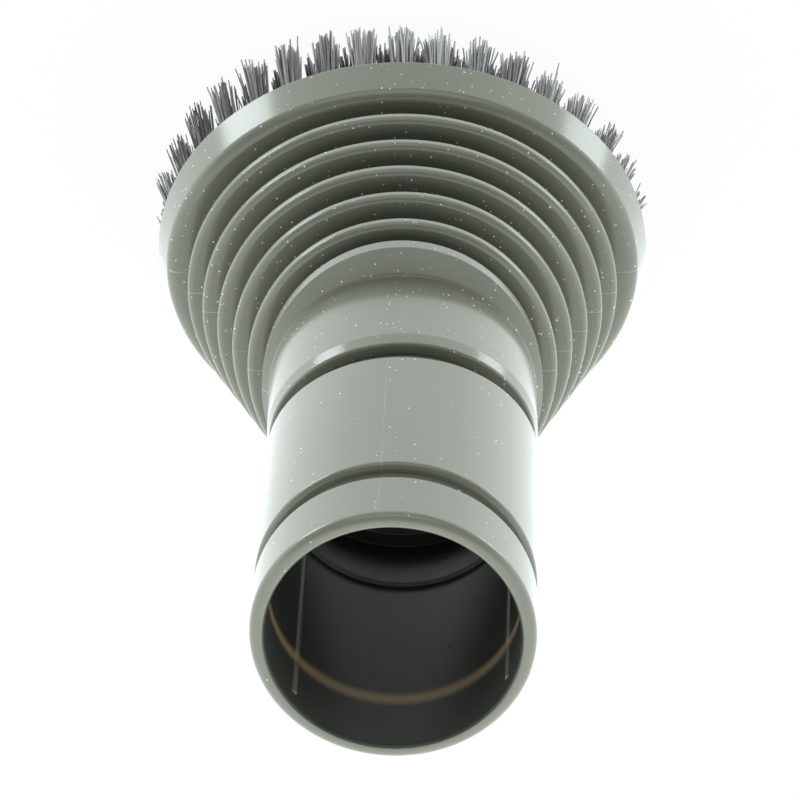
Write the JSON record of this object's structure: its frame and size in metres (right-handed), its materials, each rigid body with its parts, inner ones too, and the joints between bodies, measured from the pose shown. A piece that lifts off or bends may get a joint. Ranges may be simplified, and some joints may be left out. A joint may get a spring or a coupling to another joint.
{
  "type": "vacuum dusting brush",
  "caption": "Ribbed oval dusting brush head with a bristle ring, turning on a slanted swivel under a round socket tube for a vacuum wand.",
  "frame": {"origin": "centre of the plane through the bristle tips, on the head's axis", "axes": "+Z along the head's axis from the bristles towards the socket, X along the oval's width, Y along its depth"},
  "size_m": [0.0684, 0.0588, 0.1144],
  "materials": {
    "moulded_body": "moulded plastic, semi gloss",
    "bristle": "nylon bristle",
    "anchor_metal": "flat wire"
  },
  "bodies": {
    "head": {"brush_head": "moulded_body", "tufts_outer": "bristle", "tufts_inner": "bristle", "tuft_anchors": "anchor_metal"},
    "socket": {"socket_tube": "moulded_body"}
  },
  "joints": [
    {"name": "neck_swivel", "type": "hinge", "parent": "head", "child": "socket", "pos_m": [0, 0, 0.06945], "axis": [0, 0.2622, 0.965], "continuous": true}
  ]
}
